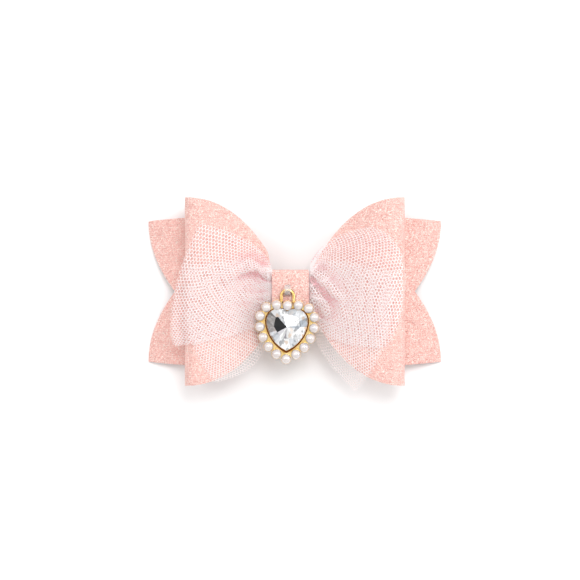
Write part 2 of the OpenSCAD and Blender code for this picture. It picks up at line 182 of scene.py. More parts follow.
def net_thread(name, low, high):
    """Sheer pink-white nylon net, with painted shade: a deeper rose is painted where the net lies low in its
    folds near the band.
    """
    s = Shader(name, Roughness=0.5, Specular_IOR_Level=0.4, Sheen_Weight=0.15)
    fibres = s.noise(2600, 4)
    pale = s.ramp(fibres.outputs["Fac"], (0.3, low), (0.7, high))
    painted_fold_shade = s.node("ShaderNodeAttribute", attribute_name="painted_fold_shade").outputs["Fac"]
    # Painted shade: the net is painted rose where it lies below the cloth round it near the band.
    s.feed("Base Color", s.mix(s.ramp(painted_fold_shade, (0.05, 0.0), (0.8, 0.9)), pale, "EFB4BC"))
    s.feed("Normal", s.bump(fibres.outputs["Fac"], 0.3, 0.03 * MM))
    return s.material


def gold_plate():
    """Light gold plating, with painted reflection: dark brown is painted along the top of the stone's bezel
    and on the steep sides.
    """
    s = Shader("gold_plate", Metallic=1.0, Roughness=0.2)
    wear = s.noise(700, 5)
    light = s.ramp(wear.outputs["Fac"], (0.3, "E8B45C"), (0.6, "FBDD9C"))
    # Painted reflection: the top of the bezel is painted dark brown.
    bezel_low, bezel_high = 15.5 * MM, 15.8 * MM
    bezel = s.node("ShaderNodeMapRange", {"Value": s.part(s.place, "Z"), "From Min": bezel_low,
                                          "From Max": bezel_high}).outputs[0]
    # Painted reflection: steep sides are painted darker brown, standing in for dark surroundings mirrored in
    # the metal.
    upright = s.number("ABSOLUTE", {0: s.part(s.own_normal("Normal"), "Z")})
    side = s.ramp(upright, (0.25, 0.6), (0.75, 0.0))
    painted_dark_sides = s.mix(side, light, "5A3512")
    s.feed("Base Color", s.mix(bezel, painted_dark_sides, "7A3E10"))
    s.feed("Roughness", s.ramp(wear.outputs["Fac"], (0.3, 0.26), (0.7, 0.12)))
    s.feed("Normal", s.bump(s.noise(1500, 3).outputs["Fac"], 0.12, 0.05 * MM))
    return s.material


def pearl_coat():
    """Layered pearl lacquer with a faint pink and blue drift."""
    s = Shader("pearl_coat", Roughness=0.2, Specular_IOR_Level=0.8, Metallic=0.3, Coat_Weight=1.0,
               Coat_Roughness=0.03)
    drift = s.noise(420, 3)
    s.feed("Base Color", s.ramp(drift.outputs["Fac"], (0.3, "D2C4BF"), (0.5, "E2D9D5"),
                                (0.7, "CFC8CB")))
    s.feed("Normal", s.bump(s.noise(1800, 4).outputs["Fac"], 0.08, 0.04 * MM))
    return s.material


def foiled_crystal():
    """Cut glass over a mirror foil. Its colour is painted reflection: the back facets mirrored through the
    crown are painted as dark and white sectors round the point.
    """
    s = Shader("foiled_crystal", Metallic=0.2, Roughness=0.04, Coat_Weight=1.0, Coat_Roughness=0.01)
    low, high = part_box("heart_crystal")
    point = ((low.x + high.x) / 2, low.y + 0.56 * (high.y - low.y), 0)
    place = s.vector("SUBTRACT", {0: s.place, 1: point})
    turn = s.number("ARCTAN2", {0: s.part(place, "Y"), 1: s.part(place, "X")})
    turn = s.node("ShaderNodeMapRange", {"Value": turn, "From Min": -math.pi, "From Max": math.pi}).outputs[0]
    # Painted reflection sectors run from the left, downwards, round to the right and back over the top.
    near = s.ramp(turn, (0.0, "1B1C20"), (0.075, "DEDCE0"), (0.14, "FFFFFF"),
                  (0.205, "CFCBD3"), (0.235, "FFFFFF"), (0.42, "F4F5F7"),
                  (0.47, "C2C9D1"), (0.52, "FFFFFF"), (0.64, "E2E5E9"),
                  (0.7, "FFFFFF"), (0.8, "E6E8EB"), (0.867, "0E0F11"),
                  interpolation="CONSTANT")
    edge = s.ramp(turn, (0.0, "A9A3A2"), (0.05, "DCE0E6"), (0.14, "F2F4F7"),
                  (0.2, "FFFFFF"), (0.27, "DDE1E6"), (0.34, "F8F9FA"),
                  (0.42, "FFFFFF"), (0.5, "B4BBC4"), (0.57, "EEF0F3"),
                  (0.66, "C9CDD2"), (0.74, "F6F7F8"), (0.82, "DADCDF"),
                  (0.88, "857E7B"), (0.95, "958F8D"), interpolation="CONSTANT")
    # Painted reflection: steep facets take the edge sectors, and each facet is painted a little darker or
    # lighter.
    facing = s.vector("SNAP", {0: s.own_normal("True Normal"), 1: (0.02, 0.02, 0.02)})
    steep = s.number("LESS_THAN", {0: s.part(facing, "Z"), 1: 0.95})
    painted_reflection_tone = s.mix(steep, near, edge)
    facet_painted_reflection = s.node("ShaderNodeTexWhiteNoise", {"Vector": facing}).outputs["Value"]
    painted_reflection_tone = s.mix(1.0, painted_reflection_tone, s.ramp(facet_painted_reflection, (0.0, 0.72), (0.4, 0.95), (1.0, 1.0)), "MULTIPLY")
    # Painted reflection: small cells, a few of them warm, are painted over the sectors as glints of the back
    # facets.
    back = s.cells(1250, s.stretched(1.0, 0.65, 0.05), distance="MANHATTAN")
    glint = s.node("ShaderNodeSeparateColor", {"Color": back.outputs["Color"]})
    inner = s.ramp(glint.outputs["Red"], (0.0, 0.42), (0.22, 0.78), (0.45, 0.96), (0.65, 1.0))
    warm = s.ramp(glint.outputs["Blue"], (0.0, "F0D2B8"), (0.07, "FFFFFF"))
    s.feed("Base Color", s.mix(1.0, s.mix(1.0, painted_reflection_tone, inner, "MULTIPLY"), warm, "MULTIPLY"))
    return s.material


def clip_steel(name, dark, bright):
    """Nickel-plated sheet steel with fine rolling lines along it."""
    s = Shader(name, Metallic=1.0, Roughness=0.3)
    lines = s.noise(900, 4, s.stretched(0.06, 1.0, 1.0))
    s.feed("Base Color", s.ramp(lines.outputs["Fac"], (0.3, dark), (0.7, bright)))
    s.feed("Roughness", s.ramp(lines.outputs["Fac"], (0.3, 0.4), (0.7, 0.22)))
    s.feed("Normal", s.bump(lines.outputs["Fac"], 0.15, 0.03 * MM))
    return s.material


def hot_glue():
    """Set hot-melt glue: cloudy, yellowish and slightly see-through."""
    s = Shader("hot_glue", Roughness=0.35, Subsurface_Weight=0.3, Subsurface_Scale=0.001)
    cloud = s.noise(500, 3)
    s.feed("Base Color", s.ramp(cloud.outputs["Fac"], (0.3, "E9DDBE"), (0.7, "F5EEDB")))
    s.feed("Normal", s.bump(cloud.outputs["Fac"], 0.3, 0.1 * MM))
    return s.material


def clear_thread():
    """Clear nylon sewing thread."""
    s = Shader("clear_thread", Roughness=0.12, Specular_IOR_Level=0.6, Transmission_Weight=0.75, IOR=1.45)
    twist = s.noise(3200, 2, s.stretched(1.0, 0.4, 1.0))
    s.feed("Base Color", s.ramp(twist.outputs["Fac"], (0.3, "F4F1EF"), (0.7, "FFFFFF")))
    s.feed("Normal", s.bump(twist.outputs["Fac"], 0.3, 0.03 * MM))
    return s.material


# ---------- meshes ----------
def add_mesh(name, points, faces, smooth=True):
    data = bpy.data.meshes.new(name)
    data.from_pydata([tuple(p) for p in points], [], [tuple(f) for f in faces])
    data.validate()
    data.polygons.foreach_set("use_smooth", [smooth] * len(data.polygons))
    made = bpy.data.objects.new(name, data)
    bpy.context.scene.collection.objects.link(made)
    return made


def grid_faces(rows, columns):
    return [(r * columns + c, r * columns + c + 1, (r + 1) * columns + c + 1, (r + 1) * columns + c)
            for r in range(rows - 1) for c in range(columns - 1)]


def add_grid(name, points):
    """A surface from an array of rows by columns by three."""
    rows, columns = points.shape[:2]
    return add_mesh(name, points.reshape(-1, 3), grid_faces(rows, columns))


def thicken(piece, thickness, even=True, bevel=None):
    """Give a surface its thickness, half to each side, and soft edges where a bevel is given."""
    solid = piece.modifiers.new("thickness", "SOLIDIFY")
    solid.thickness = thickness
    solid.offset = 0
    solid.use_even_offset = even
    if bevel:
        edge = piece.modifiers.new("soft_edge", "BEVEL")
        edge.width = bevel
        edge.segments = 2
        edge.limit_method = "ANGLE"
        edge.angle_limit = math.radians(50)


def finish_piece(piece, material, stands_for):
    """A new piece of the bow takes its material and replaces its CAD solid."""
    piece.data.materials.append(material)
    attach(piece, "bow")
    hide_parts(stands_for)


def bezier(a, b, c, d, count):
    """Points of a cubic curve, without its first one."""
    t = np.linspace(0, 1, count + 1)[1:, None]
    a, b, c, d = (np.array(p, float) for p in (a, b, c, d))
    return a * (1 - t) ** 3 + 3 * b * t * (1 - t) ** 2 + 3 * c * t * t * (1 - t) + d * t ** 3


def resample(path, step):
    """The same path with points at an even spacing of about step."""
    path = np.array(path, float)
    run = np.concatenate([[0], np.cumsum(np.linalg.norm(np.diff(path, axis=0), axis=1))])
    at = np.linspace(0, run[-1], max(2, int(round(run[-1] / step)) + 1))
    return np.stack([np.interp(at, run, path[:, k]) for k in range(path.shape[1])], axis=1)


# ---------- the bow's fabric ----------
# The loops' strip as a path in X and Z: crest, fold, two lapped ends underneath, and its front at the band.
HALF = CLOTH / 2
FOLD_X = LOOP_HIGH.x
CREST_X = FOLD_X - 4.5 * MM
CREST_Z = LOOP_HIGH.z - HALF
END_A_Z = LOOP_LOW.z + HALF
END_B_Z = END_A_Z + 0.85 * MM
FRONT_Z = END_B_Z + 0.9 * MM
LOOP_MID_Z = 13.8 * MM
RISE_GAP = 0.5 * MM
LOOP_HALF_H = (LOOP_HIGH.y - LOOP_LOW.y) / 2
WAIST = (BAND_HIGH.y - BAND_LOW.y) / 2 - CLOTH - 0.15 * MM


def loop_rise(start_x):
    """The upper face of a loop, in X and Z, from beside the band to its crest."""
    return bezier((start_x, FRONT_Z), (start_x + 11 * MM, FRONT_Z), (CREST_X - 9 * MM, CREST_Z),
                  (CREST_X, CREST_Z), 40)


def loop_turn(end_x, end_z):
    """Over the fold and back along the underside."""
    outer = FOLD_X - HALF
    return np.concatenate([
        bezier((CREST_X, CREST_Z), (CREST_X + 2.3 * MM, CREST_Z), (outer, LOOP_MID_Z + 2.6 * MM),
               (outer, LOOP_MID_Z), 20),
        bezier((outer, LOOP_MID_Z), (outer, LOOP_MID_Z - 3.2 * MM), (FOLD_X - 3.4 * MM, END_A_Z),
               (FOLD_X - 7 * MM, END_A_Z), 20),
        bezier((FOLD_X - 7 * MM, END_A_Z), (FOLD_X - 14 * MM, END_A_Z), (end_x + 8 * MM, end_z),
               (end_x, end_z), 20)])


def loop_half_height(x):
    """Half the fabric's height at a distance x from the middle: full at the folds, narrow at the band."""
    depth = np.clip((FOLD_X - np.abs(x)) / (35 * MM), 0, 0.999)
    full = LOOP_HALF_H * (1 - depth ** 2.2) ** 0.88
    edge = np.where(x < 0, BAND_LOW.x - x, x - BAND_HIGH.x)
    open_share = np.clip(edge / (1.6 * MM), 0, 1)
    open_share = open_share * open_share * (3 - 2 * open_share)
    return np.where(edge < 0, WAIST, WAIST + np.maximum(full - WAIST, 0) * open_share)


def across(path):
    """The loops' strip laid along a path in X and Z, with its own height in Y at each X."""
    share = np.linspace(-1, 1, 41)
    points = np.zeros((len(path), len(share), 3))
    points[:, :, 0] = path[:, :1]
    points[:, :, 2] = path[:, 1:]
    points[:, :, 1] = BOW_Y + loop_half_height(path[:, 0])[:, None] * share
    return points


def bow_loops(material):
    """One strip of fabric, folded over at each side into two loops. Its ends lap behind the middle."""
    mirror = np.array([-1.0, 1.0])
    left = loop_turn(6 * MM - BAND_LOW.x, END_A_Z) * mirror
    right = loop_turn(BAND_HIGH.x + 4 * MM, END_B_Z)
    rise_left = loop_rise(RISE_GAP - BAND_LOW.x) * mirror
    rise_right = loop_rise(BAND_HIGH.x + RISE_GAP)
    path = np.concatenate([
        [[BAND_HIGH.x, END_A_Z]], left[::-1], rise_left[::-1],
        [[BAND_LOW.x - RISE_GAP, FRONT_Z], [BAND_HIGH.x + RISE_GAP, FRONT_Z]],
        rise_right, right, [[BAND_LOW.x, END_B_Z]]])
    path = resample(path, 0.6 * MM)
    piece = add_grid("bow_loops", across(path))
    thicken(piece, CLOTH, bevel=CUT_EDGE)
    finish_piece(piece, material, "bow_loop")


def tail_sheet(material):
    """The swallow-tailed panel, arched down to its four tips."""
    tip_x, tip_y = TAIL_HIGH.x, 24.1 * MM
    top_z, flat_x = TAIL_HIGH.z - HALF, 18 * MM
    arc_x, arc_r = 34 * MM, (TAIL_HIGH.y - TAIL_LOW.y) / 2
    notch_x, bow_out = tip_x - 9 * MM, 2.3 * MM
    rows, columns = 61, 161
    v = np.linspace(-1, 1, rows)[:, None]
    u = np.linspace(-1, 1, columns)[None, :]
    end = notch_x + (tip_x - notch_x) * np.abs(v) + 4 * bow_out * np.abs(v) * (1 - np.abs(v))
    x = u * end
    far = np.clip((np.abs(x) - arc_x) / (tip_x - arc_x), 0, 1)
    inside = np.sqrt(np.maximum(arc_r ** 2 - np.minimum(np.abs(x) - arc_x, 0) ** 2, 0))
    half = np.maximum(inside - (arc_r - tip_y) * far ** 1.3, WAIST)
    drop = np.clip((np.abs(x) - flat_x) / (tip_x - flat_x), 0, 1) ** 2
    z = HALF + (top_z - HALF) * (1 - drop)
    points = np.stack([x, BOW_Y + v * half, z], axis=2)
    piece = add_grid("tail_sheet", points)
    thicken(piece, CLOTH, bevel=CUT_EDGE)
    finish_piece(piece, material, "tail_panel")


def band_path():
    """The band's loop in Y and Z, with its ends lapped underneath."""
    corner, lap = 1.3 * MM, 3 * MM
    high, low = BAND_HIGH.y - HALF, BAND_LOW.y + HALF
    top, outer = BAND_HIGH.z - HALF, BAND_LOW.z + HALF
    inner = outer + CLOTH + 0.05 * MM

    def turn(y, z, start):
        at = np.radians(np.linspace(start, start + 90, 9))
        return np.stack([y + corner * np.cos(at), z + corner * np.sin(at)], axis=1)

    return np.concatenate([
        [[BOW_Y - lap, inner]],
        turn(high - corner, inner + corner, -90), turn(high - corner, top - corner, 0),
        turn(low + corner, top - corner, 90), turn(low + corner, outer + corner, 180),
        [[BOW_Y + lap, outer]]])


def centre_band(material):
    """The strip round the middle, with its cut edges rolled down a little."""
    path = resample(band_path(), 0.35 * MM)
    share = np.linspace(0, 1, 31)
    points = np.zeros((len(path), len(share), 3))
    points[:, :, 0] = BAND_LOW.x + (BAND_HIGH.x - BAND_LOW.x) * share
    points[:, :, 1] = path[:, :1]
    mid_z = 9 * MM
    roll = 0.35 * MM * np.abs(2 * share - 1) ** 6
    points[:, :, 2] = path[:, 1:] - roll * np.sign(path[:, 1:] - mid_z)
    piece = add_grid("centre_wrap", points)
    thicken(piece, CLOTH, bevel=CUT_EDGE)
    finish_piece(piece, material, "centre_band")


# ---------- the two layers of net ----------
NET_CELL = 1.17 * MM      # across a hole and its thread
NET_HOLE = 0.82           # a hole's share of its cell's width
NET_THICK = 0.14 * MM
CUT_WIDTH = 44 * MM       # a layer's cut width, in Y
LAYER_GAP = 0.25 * MM     # from one layer's middle to what it lies on
HIDDEN = (BAND_HIGH.x - BAND_LOW.x) / 2
BAND_X = (BAND_HIGH.x + BAND_LOW.x) / 2
GATHER = 6.3 * MM         # half the height of the gathered net under the band
FOLDS = 2                 # knife pleats on each side of the middle
PLEAT_RISE = 0.45 * MM


def ridge(x, y, start, finish, width, height):
    """A rounded ridge, or with a negative height a furrow, along a straight line in plan (mm)."""
    start, finish = np.array(start) * MM, np.array(finish) * MM
    line = finish - start
    along = np.clip(((x - start[0]) * line[0] + (y - start[1]) * line[1]) / (line @ line), 0, 1)
    gap2 = (x - start[0] - along * line[0]) ** 2 + (y - start[1] - along * line[1]) ** 2
    return height * MM * np.exp(-gap2 / (width * MM) ** 2)


class Wing:
    """One wing of a net layer. In plan it has the path of its cut end from the low to the high corner, and
    the directions in which it leaves the band and reaches that end. Its relief is soft folds that run out
    from the band, and ridges of its own."""

    def __init__(self, end, start_angles, end_angles, pleats, height, phase, ridges=(), bulge=0.0,
                 fold_back=0.0):
        self.end = np.array(end, float) * MM
        self.start_angles, self.end_angles = start_angles, end_angles
        self.pleats, self.height, self.phase, self.ridges = pleats, height, phase, ridges
        self.bulge, self.fold_back = bulge, fold_back

    def folded(self, q, t):
        """Knife pleats: at the band the sheet runs to and fro, and towards its cut end it opens out."""
        turn = 2 * math.pi * FOLDS
        return t + self.fold_back * (1 - q) ** 4 * np.sin(turn * t) / turn

    def plan(self, side, q, t):
        """Points at q from the band's edge (0) to the cut end (1), and t from the low to the high edge."""
        t = self.folded(q, t)
        share = (t + 1) / 2
        edge = np.array([BAND_X + side * HIDDEN, BOW_Y])
        start = edge + np.stack([0 * t, GATHER * t], axis=-1)
        a, b, c, d = self.end
        s = share[..., None]
        finish = a * (1 - s) ** 3 + 3 * b * s * (1 - s) ** 2 + 3 * c * s * s * (1 - s) + d * s ** 3
        reach = 31 * MM

        def heading(angles, bulge=0.0):
            low, high = angles
            at = np.radians(low + (high - low) * share)
            longer = reach * (1 + bulge * np.maximum(-t, 0) ** 2)[..., None]
            return longer * np.stack([side * np.cos(at), np.sin(at)], axis=-1)

        q = q[..., None]
        leaving, reaching = heading(self.start_angles, self.bulge), heading(self.end_angles)
        return (start * (2 * q ** 3 - 3 * q ** 2 + 1) + leaving * (q ** 3 - 2 * q ** 2 + q)
                + finish * (3 * q ** 2 - 2 * q ** 3) + reaching * (q ** 3 - q ** 2))

    def relief(self, x, y, q, t):
        """How far the wing's folds stand up."""
        turn = math.pi * (self.pleats * t + 0.5 * np.sin(2.3 * t + self.phase) + 0.35 * np.sin(5 * q + 3 * t))
        wave = (0.5 + 0.5 * np.cos(turn + self.phase)) ** 1.4
        second = 0.5 + 0.5 * np.cos(1.9 * turn + 2 * self.phase + 1)
        raised = self.height * MM * (1 - q) ** 1.6 * (0.3 + 0.75 * wave + 0.2 * second * (1 - q))
        lean = 0.5 + 0.5 * np.sin(2 * math.pi * FOLDS * t)
        raised = raised + PLEAT_RISE * self.fold_back * (1 - q) ** 3 * lean
        for start, finish, width, height in self.ridges:
            raised = raised + ridge(x, y, start, finish, width, height)
        return raised


def face_height(x, y, fall=1.6):
    """The height of the loops' front face. Past its edges it falls away at a slope."""
    z = np.zeros_like(x)
    for side, start in ((-1, RISE_GAP - BAND_LOW.x), (1, BAND_HIGH.x + RISE_GAP)):
        path = np.concatenate([[[start, FRONT_Z]], loop_rise(start), loop_turn(start, END_A_Z)[:20]])
        height = np.interp(side * x, path[:, 0], path[:, 1] + HALF)
        z = np.where(side * x >= 0, height, z)
    over = np.maximum(np.abs(y - BOW_Y) - np.maximum(loop_half_height(x), 8 * MM), 0)
    past = np.maximum(np.abs(x) - FOLD_X, 0)
    return z - fall * over - fall * past


# The charm never comes inside these radii round its lift's axis, at these distances to the side.
CLEAR_ASIDE = np.array([6, 8, 9.5, 11, 12.5]) * MM
CLEAR_RADIUS = np.array([3.2, 4.6, 6.0, 8.2, 14]) * MM


def charm_ceiling(x, y):
    """How high the net may stand below the charm at rest and beside the path on which it lifts."""
    low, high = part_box("charm_frame")
    axis_y, axis_z = 1.5 * MM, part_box("charm_thread")[1].z - 1.9 * MM
    aside = np.abs(x - (low.x + high.x) / 2)
    # The sway takes the charm's lower part further to the side.
    toward = 0.15 * np.maximum(axis_y - y, 0)
    # The net stays under the resting plate, and past the axis under the lifted charm.
    under_plate = low.z - 0.3 * MM
    lifted = axis_z - 4.6 * MM + 0.84 * (y - axis_y)
    level = np.where(y < axis_y + 4 * MM, under_plate, np.maximum(lifted, under_plate))
    # Round the axis it may fill the circle that the charm leaves free.
    clear = np.interp(aside - toward, CLEAR_ASIDE, CLEAR_RADIUS)
    near = clear ** 2 - (np.abs(y - axis_y) + 0.14 * aside + 0.8 * MM) ** 2
    bubble = np.where(near > 0, axis_z - 0.5 * MM + np.sqrt(np.maximum(near, 0)), 0)
    beside = np.maximum(aside - (high.x - low.x) / 2 - 1.2 * MM - toward, 0)
    below = np.maximum(low.y - 2 * MM - y, 0)
    return np.maximum(level, bubble) + 1.2 * beside + 0.9 * below


# How much of a pair's error one step takes away: along the threads, aslant, and against bending.
THREAD_HOLD, SLANT_HOLD, BEND_HOLD = 0.9, 0.3, 0.2
KEPT_SPEED = 0.8
MOST_SPEED = 0.2 * MM
FALL = 0.001 * MM


def pull(points, free, first, second, rest, strength):
    """Move each pair of points towards its rest distance."""
    gap = points[second] - points[first]
    length = np.sqrt((gap * gap).sum(axis=-1)) + 1e-9
    error = (length - rest) / length * strength
    a, b = free[first], free[second]
    total = np.maximum(a + b, 1e-9)
    gap *= error[..., None]
    points[first] += gap * (a / total)[..., None]
    points[second] -= gap * (b / total)[..., None]


def thread_pairs(rows, columns):
    """Neighbours along, across and aslant, then points three apart, in sets that share no point."""
    every, pairs = slice(None), []
    for k in (0, 1):
        for axis, count in ((1, (columns - k) // 2), (0, (rows - k) // 2)):
            first, second = slice(k, k + 2 * count - 1, 2), slice(k + 1, k + 2 * count, 2)
            pairs.append(((every, first), (every, second), THREAD_HOLD) if axis
                         else ((first, every), (second, every), THREAD_HOLD))
        count = (columns - k) // 2
        first, second = slice(k, k + 2 * count - 1, 2), slice(k + 1, k + 2 * count, 2)
        pairs.append(((slice(0, -1), first), (slice(1, None), second), SLANT_HOLD))
        pairs.append(((slice(1, None), first), (slice(0, -1), second), SLANT_HOLD))
    reach = 3
    for k in range(reach):
        for axis, total in ((1, columns), (0, rows)):
            for j in (0, reach):
                count = len(range(k + j, total - reach, 2 * reach))
                first = slice(k + j, k + j + 2 * reach * (count - 1) + 1, 2 * reach)
                second = slice(first.start + reach, first.stop + reach, 2 * reach)
                pairs.append(((every, first), (every, second), BEND_HOLD) if axis
                             else ((first, every), (second, every), BEND_HOLD))
    return pairs


def relax(points, free, anchor, hold, ground, ceiling, steps):
    """Settle a sheet: threads keep their laid length, it resists bending and rests on what is under it."""
    pairs = []
    for first, second, strength in thread_pairs(*points.shape[:2]):
        rest = np.sqrt(((points[second] - points[first]) ** 2).sum(axis=-1))
        pairs.append((first, second, rest, strength))
    speed = np.zeros_like(points)
    for _ in range(steps):
        before = points.copy()
        points += KEPT_SPEED * speed
        points[..., 2] -= FALL * free
        for first, second, rest, strength in pairs:
            pull(points, free, first, second, rest, strength)
        points[..., :2] += (anchor[..., :2] - points[..., :2]) * hold[..., None]
        x, y = points[..., 0], points[..., 1]
        low = ground(x, y)
        high = np.maximum(ceiling(x, y), low)
        points[..., 2] = np.where(free > 0, np.clip(points[..., 2], low, high), points[..., 2])
        speed = np.where((free > 0)[..., None], points - before, 0)
        size = np.sqrt((speed ** 2).sum(axis=-1, keepdims=True)) + 1e-12
        speed *= np.minimum(1, MOST_SPEED / size)
    return points


def gathered(left, right, cut_length, slot_z, ground, steps):
    """A net layer gathered under the band and spread into a wing on each side. It climbs out from under
    the band over the first few hundredths of a wing."""
    spacing, climb = 0.6 * MM, 0.06
    columns, rows = int(cut_length / spacing) | 1, int(CUT_WIDTH / spacing) | 1
    along = np.linspace(-cut_length / 2, cut_length / 2, columns)
    t = np.linspace(-1, 1, rows)[:, None] * np.ones((1, columns))
    q = np.clip((np.abs(along) - HIDDEN) / (cut_length / 2 - HIDDEN), 0, 1)[None, :] * np.ones((rows, 1))
    points = np.zeros((rows, columns, 3))
    ripple = 0.12 * MM * np.sin(30 * t)
    points[..., 2] = slot_z + ripple
    for side, wing in ((-1, left), (1, right)):
        half = (side * along) > HIDDEN
        points[:, half, :2] = wing.plan(side, q[:, half], t[:, half])
        x, y = points[:, half, 0], points[:, half, 1]
        near = np.clip(q[:, half] / climb, 0, 1)
        near = near * near * (3 - 2 * near)
        base = np.maximum(ground(x, y), face_height(x, y, 0.3) + 0.3 * MM)
        raised = np.maximum(ground(x, y), base + wing.relief(x, y, q[:, half], t[:, half]))
        points[:, half, 2] = (1 - near) * points[:, half, 2] + near * raised
    hidden = np.abs(along) <= HIDDEN
    points[:, hidden, 0] = BAND_X + along[hidden]
    share = (along[hidden] / HIDDEN + 1) / 2
    points[:, hidden, 1] = BOW_Y + GATHER * (left.folded(0, t[:, hidden]) * (1 - share)
                                             + right.folded(0, t[:, hidden]) * share)
    free = np.where(hidden[None, :] | (q <= 0), 0.0, 1.0)
    hold = np.where(q > 0.999, 0.25, 0.02)
    return relax(points, free, points.copy(), hold, ground, charm_ceiling, steps)


def height_map(points):
    """The lowest place for a sheet on a settled layer, which itself lies over the loops' face."""
    step, half = 0.5 * MM, 50 * MM
    count = int(2 * half / step)
    fine = (points[:-1, :-1] + points[1:, 1:]) / 2
    samples = np.concatenate([points.reshape(-1, 3), fine.reshape(-1, 3)])
    index = np.clip(((samples[:, :2] + half) / step).astype(int), 0, count - 1)
    grid = np.full((count, count), -1.0)
    np.maximum.at(grid, (index[:, 0], index[:, 1]), samples[:, 2])
    for _ in range(2):
        wide = np.pad(grid, 1, constant_values=-1.0)
        grid = np.max([wide[1 + i:count + 1 + i, 1 + j:count + 1 + j]
                       for i in (-1, 0, 1) for j in (-1, 0, 1)], axis=0)

    def ground(x, y):
        i = np.clip(((x + half) / step).astype(int), 0, count - 1)
        j = np.clip(((y + half) / step).astype(int), 0, count - 1)
        return np.maximum(grid[i, j] + LAYER_GAP, face_height(x, y) + 2 * LAYER_GAP)

    return ground


def hollows(points):
    """How far each point near the band lies below the cloth round it, from 0 to 1."""
    height = points[..., 2]
    mean = height
    for _ in range(24):
        wide = np.pad(mean, 1, mode="edge")
        mean = (wide[:-2, 1:-1] + wide[2:, 1:-1] + wide[1:-1, :-2] + wide[1:-1, 2:]) / 4
    x = points[..., 0]
    from_band = np.maximum(x - BAND_HIGH.x, BAND_LOW.x - x)
    gathered_share = np.clip(1.25 - from_band / (16 * MM), 0, 1)
    gathered_share = gathered_share * np.clip((16 * MM - np.abs(points[..., 1] - BOW_Y)) / (5 * MM), 0, 1)
    return np.clip((mean - height) / (0.8 * MM), 0, 1) * gathered_share


def net_mesh(name, points, cut_length):
    """Hexagonal mesh laid over a settled sheet: six struts of an even width round each hole."""
    rows, columns = points.shape[:2]
    smallest, widest = 0.3, 0.84
    pitch_b, outer = NET_CELL * math.sqrt(3) / 2, NET_CELL / math.sqrt(3)
    half_a, half_b = cut_length / 2, CUT_WIDTH / 2
    place = np.array([half_a, half_b])
    cell = np.array([cut_length / (columns - 1), CUT_WIDTH / (rows - 1)])

    def laid(flat):
        u, v = ((flat + place) / cell).T
        i, j = np.clip(u.astype(int), 0, columns - 2), np.clip(v.astype(int), 0, rows - 2)
        fu, fv = (u - i)[:, None], (v - j)[:, None]
        return (points[j, i] * (1 - fu) * (1 - fv) + points[j, i + 1] * fu * (1 - fv)
                + points[j + 1, i] * (1 - fu) * fv + points[j + 1, i + 1] * fu * fv)

    centres = []
    for row in range(-int(half_b / pitch_b), int(half_b / pitch_b) + 1):
        a = (np.arange(-int(half_a / NET_CELL) - 1, int(half_a / NET_CELL) + 2) + 0.5 * (row % 2)) * NET_CELL
        centres.append(np.stack([a, np.full(len(a), row * pitch_b)], axis=1))
    centres = np.concatenate(centres)
    centres = centres[(np.abs(centres) < place - outer).all(axis=1)]
    reach = 0.4 * NET_CELL
    stretch = np.stack([np.linalg.norm(laid(centres + step) - laid(centres - step), axis=1) / (2 * reach)
                        for step in (np.array([reach, 0]), np.array([0, reach]))], axis=1)
    hole = np.clip(1 - (1 - NET_HOLE) / np.maximum(stretch, 0.05) ** 0.5, smallest, widest)
    corner = np.radians(30 + 60 * np.arange(6))
    ring = outer * np.stack([np.cos(corner), np.sin(corner)], axis=1)
    rim = (centres[:, None] + ring).reshape(-1, 2)
    _, first, merged = np.unique(np.round(rim / (0.1 * MM)).astype(int) @ np.array([100003, 1]),
                                 return_index=True, return_inverse=True)
    merged = merged.reshape(-1, 6)
    inner = (centres[:, None] + ring * hole[:, None]).reshape(-1, 2)
    inside = len(first) + np.arange(len(inner)).reshape(-1, 6)
    k = np.arange(6)
    faces = np.stack([merged[:, k], merged[:, (k + 1) % 6], inside[:, (k + 1) % 6], inside[:, k]], axis=2)
    corners = np.concatenate([rim[first], inner])
    piece = add_mesh(name, laid(corners), faces.reshape(-1, 4), smooth=False)
    u, v = ((corners + place) / cell).T
    # The depth below the cloth round each point sets where painted shade goes.
    shade = piece.data.attributes.new("painted_fold_shade", "FLOAT", "POINT")
    shade.data.foreach_set("value", hollows(points)[v.round().astype(int), u.round().astype(int)])
    thicken(piece, NET_THICK, even=False)
    return piece, len(centres) * NET_CELL * pitch_b * (1 - NET_HOLE ** 2)


